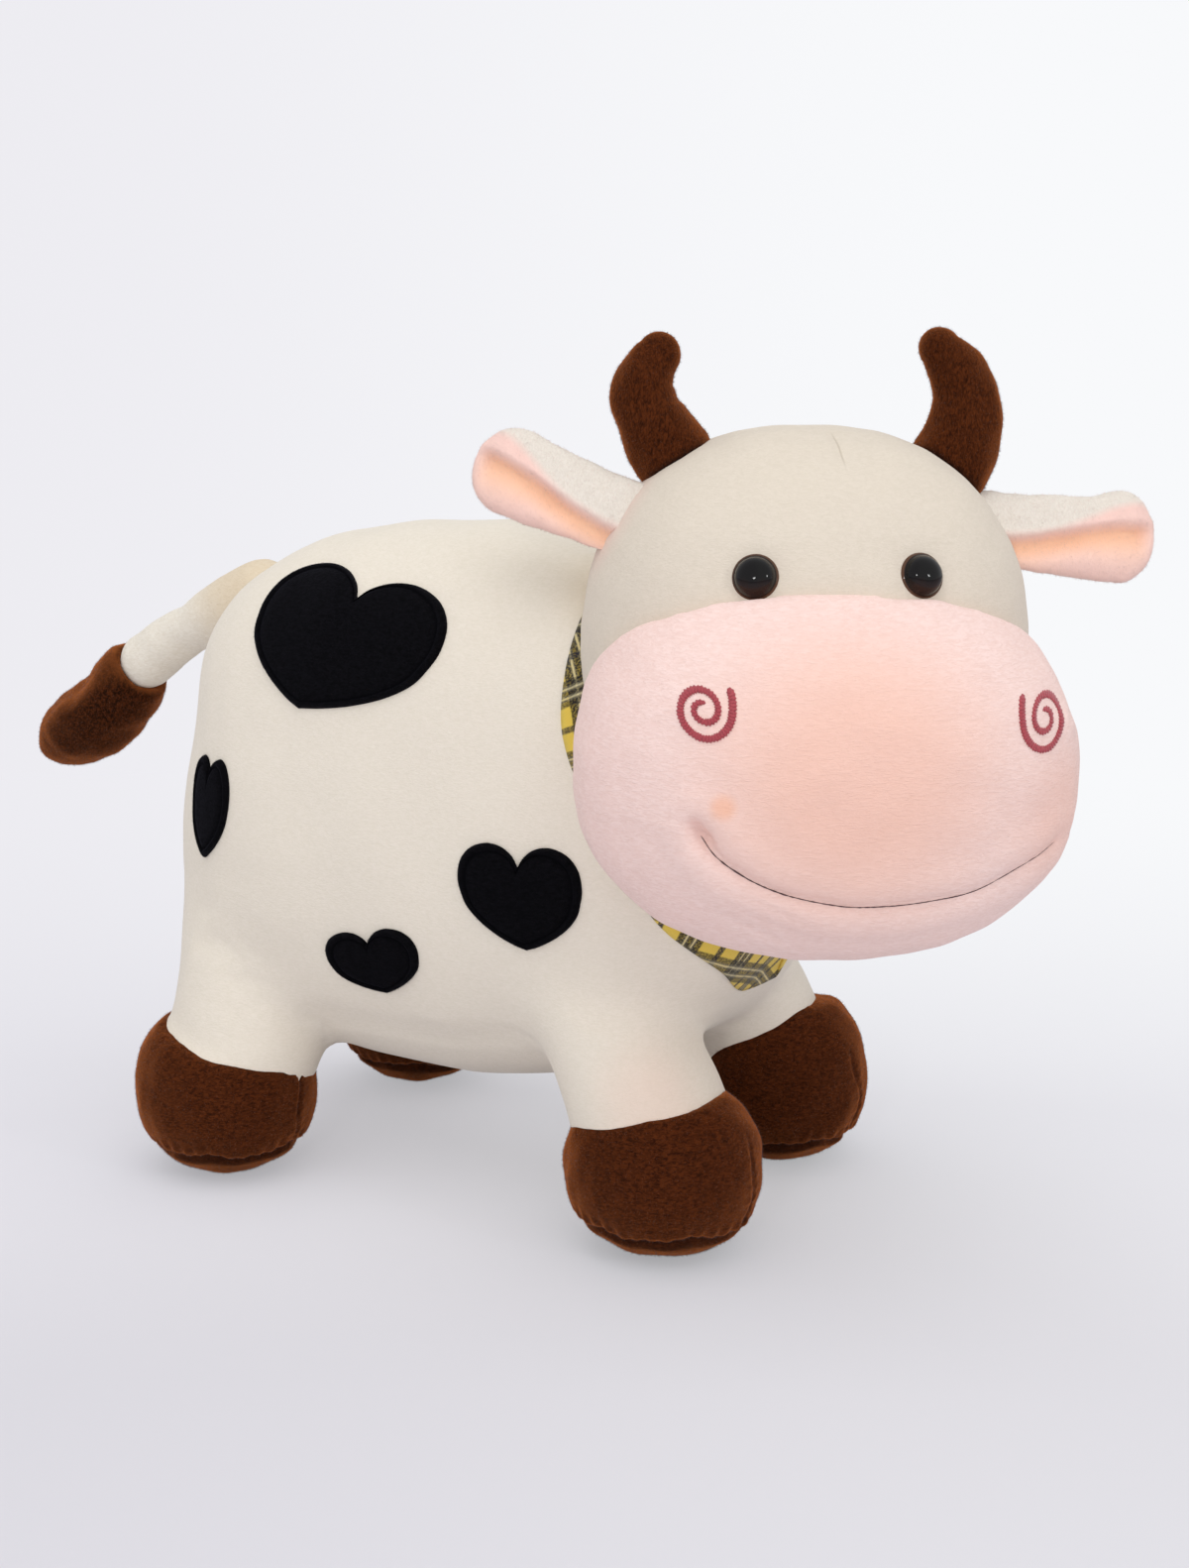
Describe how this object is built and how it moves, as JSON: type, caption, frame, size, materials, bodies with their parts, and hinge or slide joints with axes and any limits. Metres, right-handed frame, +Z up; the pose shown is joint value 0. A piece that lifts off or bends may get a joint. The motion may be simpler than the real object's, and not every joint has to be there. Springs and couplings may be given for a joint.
{
  "type": "plush cow",
  "caption": "Stuffed plush cow standing on ball-shaped hooves, head turned to its right, with a wide muzzle, curved horns, folded ears, heart patches, a checked neckerchief and a tufted tail",
  "frame": {"origin": "middle of the bounding box's bottom face, on the ground the hooves stand on", "axes": "+Z up; the cow's rump is towards +Y and its chest towards -Y; its left side is +X"},
  "size_m": [0.2236, 0.451, 0.3115],
  "materials": {
    "ivory_plush": "short-pile plush",
    "pink_plush": "short-pile plush",
    "ear_lining_plush": "short-pile plush",
    "brown_plush": "short-pile plush",
    "heart_plush": "short-pile plush with a satin-stitched edge",
    "checked_cotton": "plain-weave check",
    "eye_plastic": "polished",
    "washer_plastic": "as moulded"
  },
  "bodies": {
    "cow": {"eye_left": "eye_plastic", "eye_right": "eye_plastic", "eye_washer_left": "washer_plastic", "eye_washer_right": "washer_plastic", "head": "ivory_plush", "heart_back_left": "heart_plush", "heart_back_right": "heart_plush", "heart_belly_left": "heart_plush", "heart_belly_right": "heart_plush", "heart_rump_right": "heart_plush", "heart_shoulder_left": "heart_plush", "heart_shoulder_right": "heart_plush", "hoof_front_left": "brown_plush", "hoof_front_right": "brown_plush", "hoof_rear_left": "brown_plush", "hoof_rear_right": "brown_plush", "horn_left": "brown_plush", "horn_right": "brown_plush", "leg_front_left": "ivory_plush", "leg_front_right": "ivory_plush", "leg_rear_left": "ivory_plush", "leg_rear_right": "ivory_plush", "muzzle": "pink_plush", "neckerchief": "checked_cotton", "sole_front_left": "brown_plush", "sole_front_right": "brown_plush", "sole_rear_left": "brown_plush", "sole_rear_right": "brown_plush", "torso": "ivory_plush"},
    "ear_right": {"ear_back_right": "ivory_plush", "ear_lining_right": "ear_lining_plush"},
    "ear_left": {"ear_back_left": "ivory_plush", "ear_lining_left": "ear_lining_plush"},
    "tail": {"tail_shaft": "ivory_plush"},
    "tuft": {"tail_tuft": "brown_plush"}
  },
  "joints": [
    {"name": "ear_right_flap", "type": "hinge", "parent": "cow", "child": "ear_right", "pos_m": [-0.04788, -0.07213, 0.2526], "axis": [0.8241, 0.5664, 0], "range_deg": [-30, 15], "stiffness_Nm_per_rad": 0.12},
    {"name": "ear_left_flap", "type": "hinge", "parent": "cow", "child": "ear_left", "pos_m": [0.02925, -0.18436, 0.24585], "axis": [-0.8241, -0.5664, 0], "range_deg": [-6, 39], "stiffness_Nm_per_rad": 0.12},
    {"name": "tail_lift", "type": "hinge", "parent": "cow", "child": "tail", "pos_m": [0.01033, 0.11908, 0.20645], "axis": [1, 0, 0], "range_deg": [-8, 60], "stiffness_Nm_per_rad": 0.3},
    {"name": "tuft_swing", "type": "hinge", "parent": "tail", "child": "tuft", "pos_m": [0.01033, 0.17006, 0.18214], "axis": [1, 0, 0], "range_deg": [-25, 25], "stiffness_Nm_per_rad": 0.15}
  ]
}
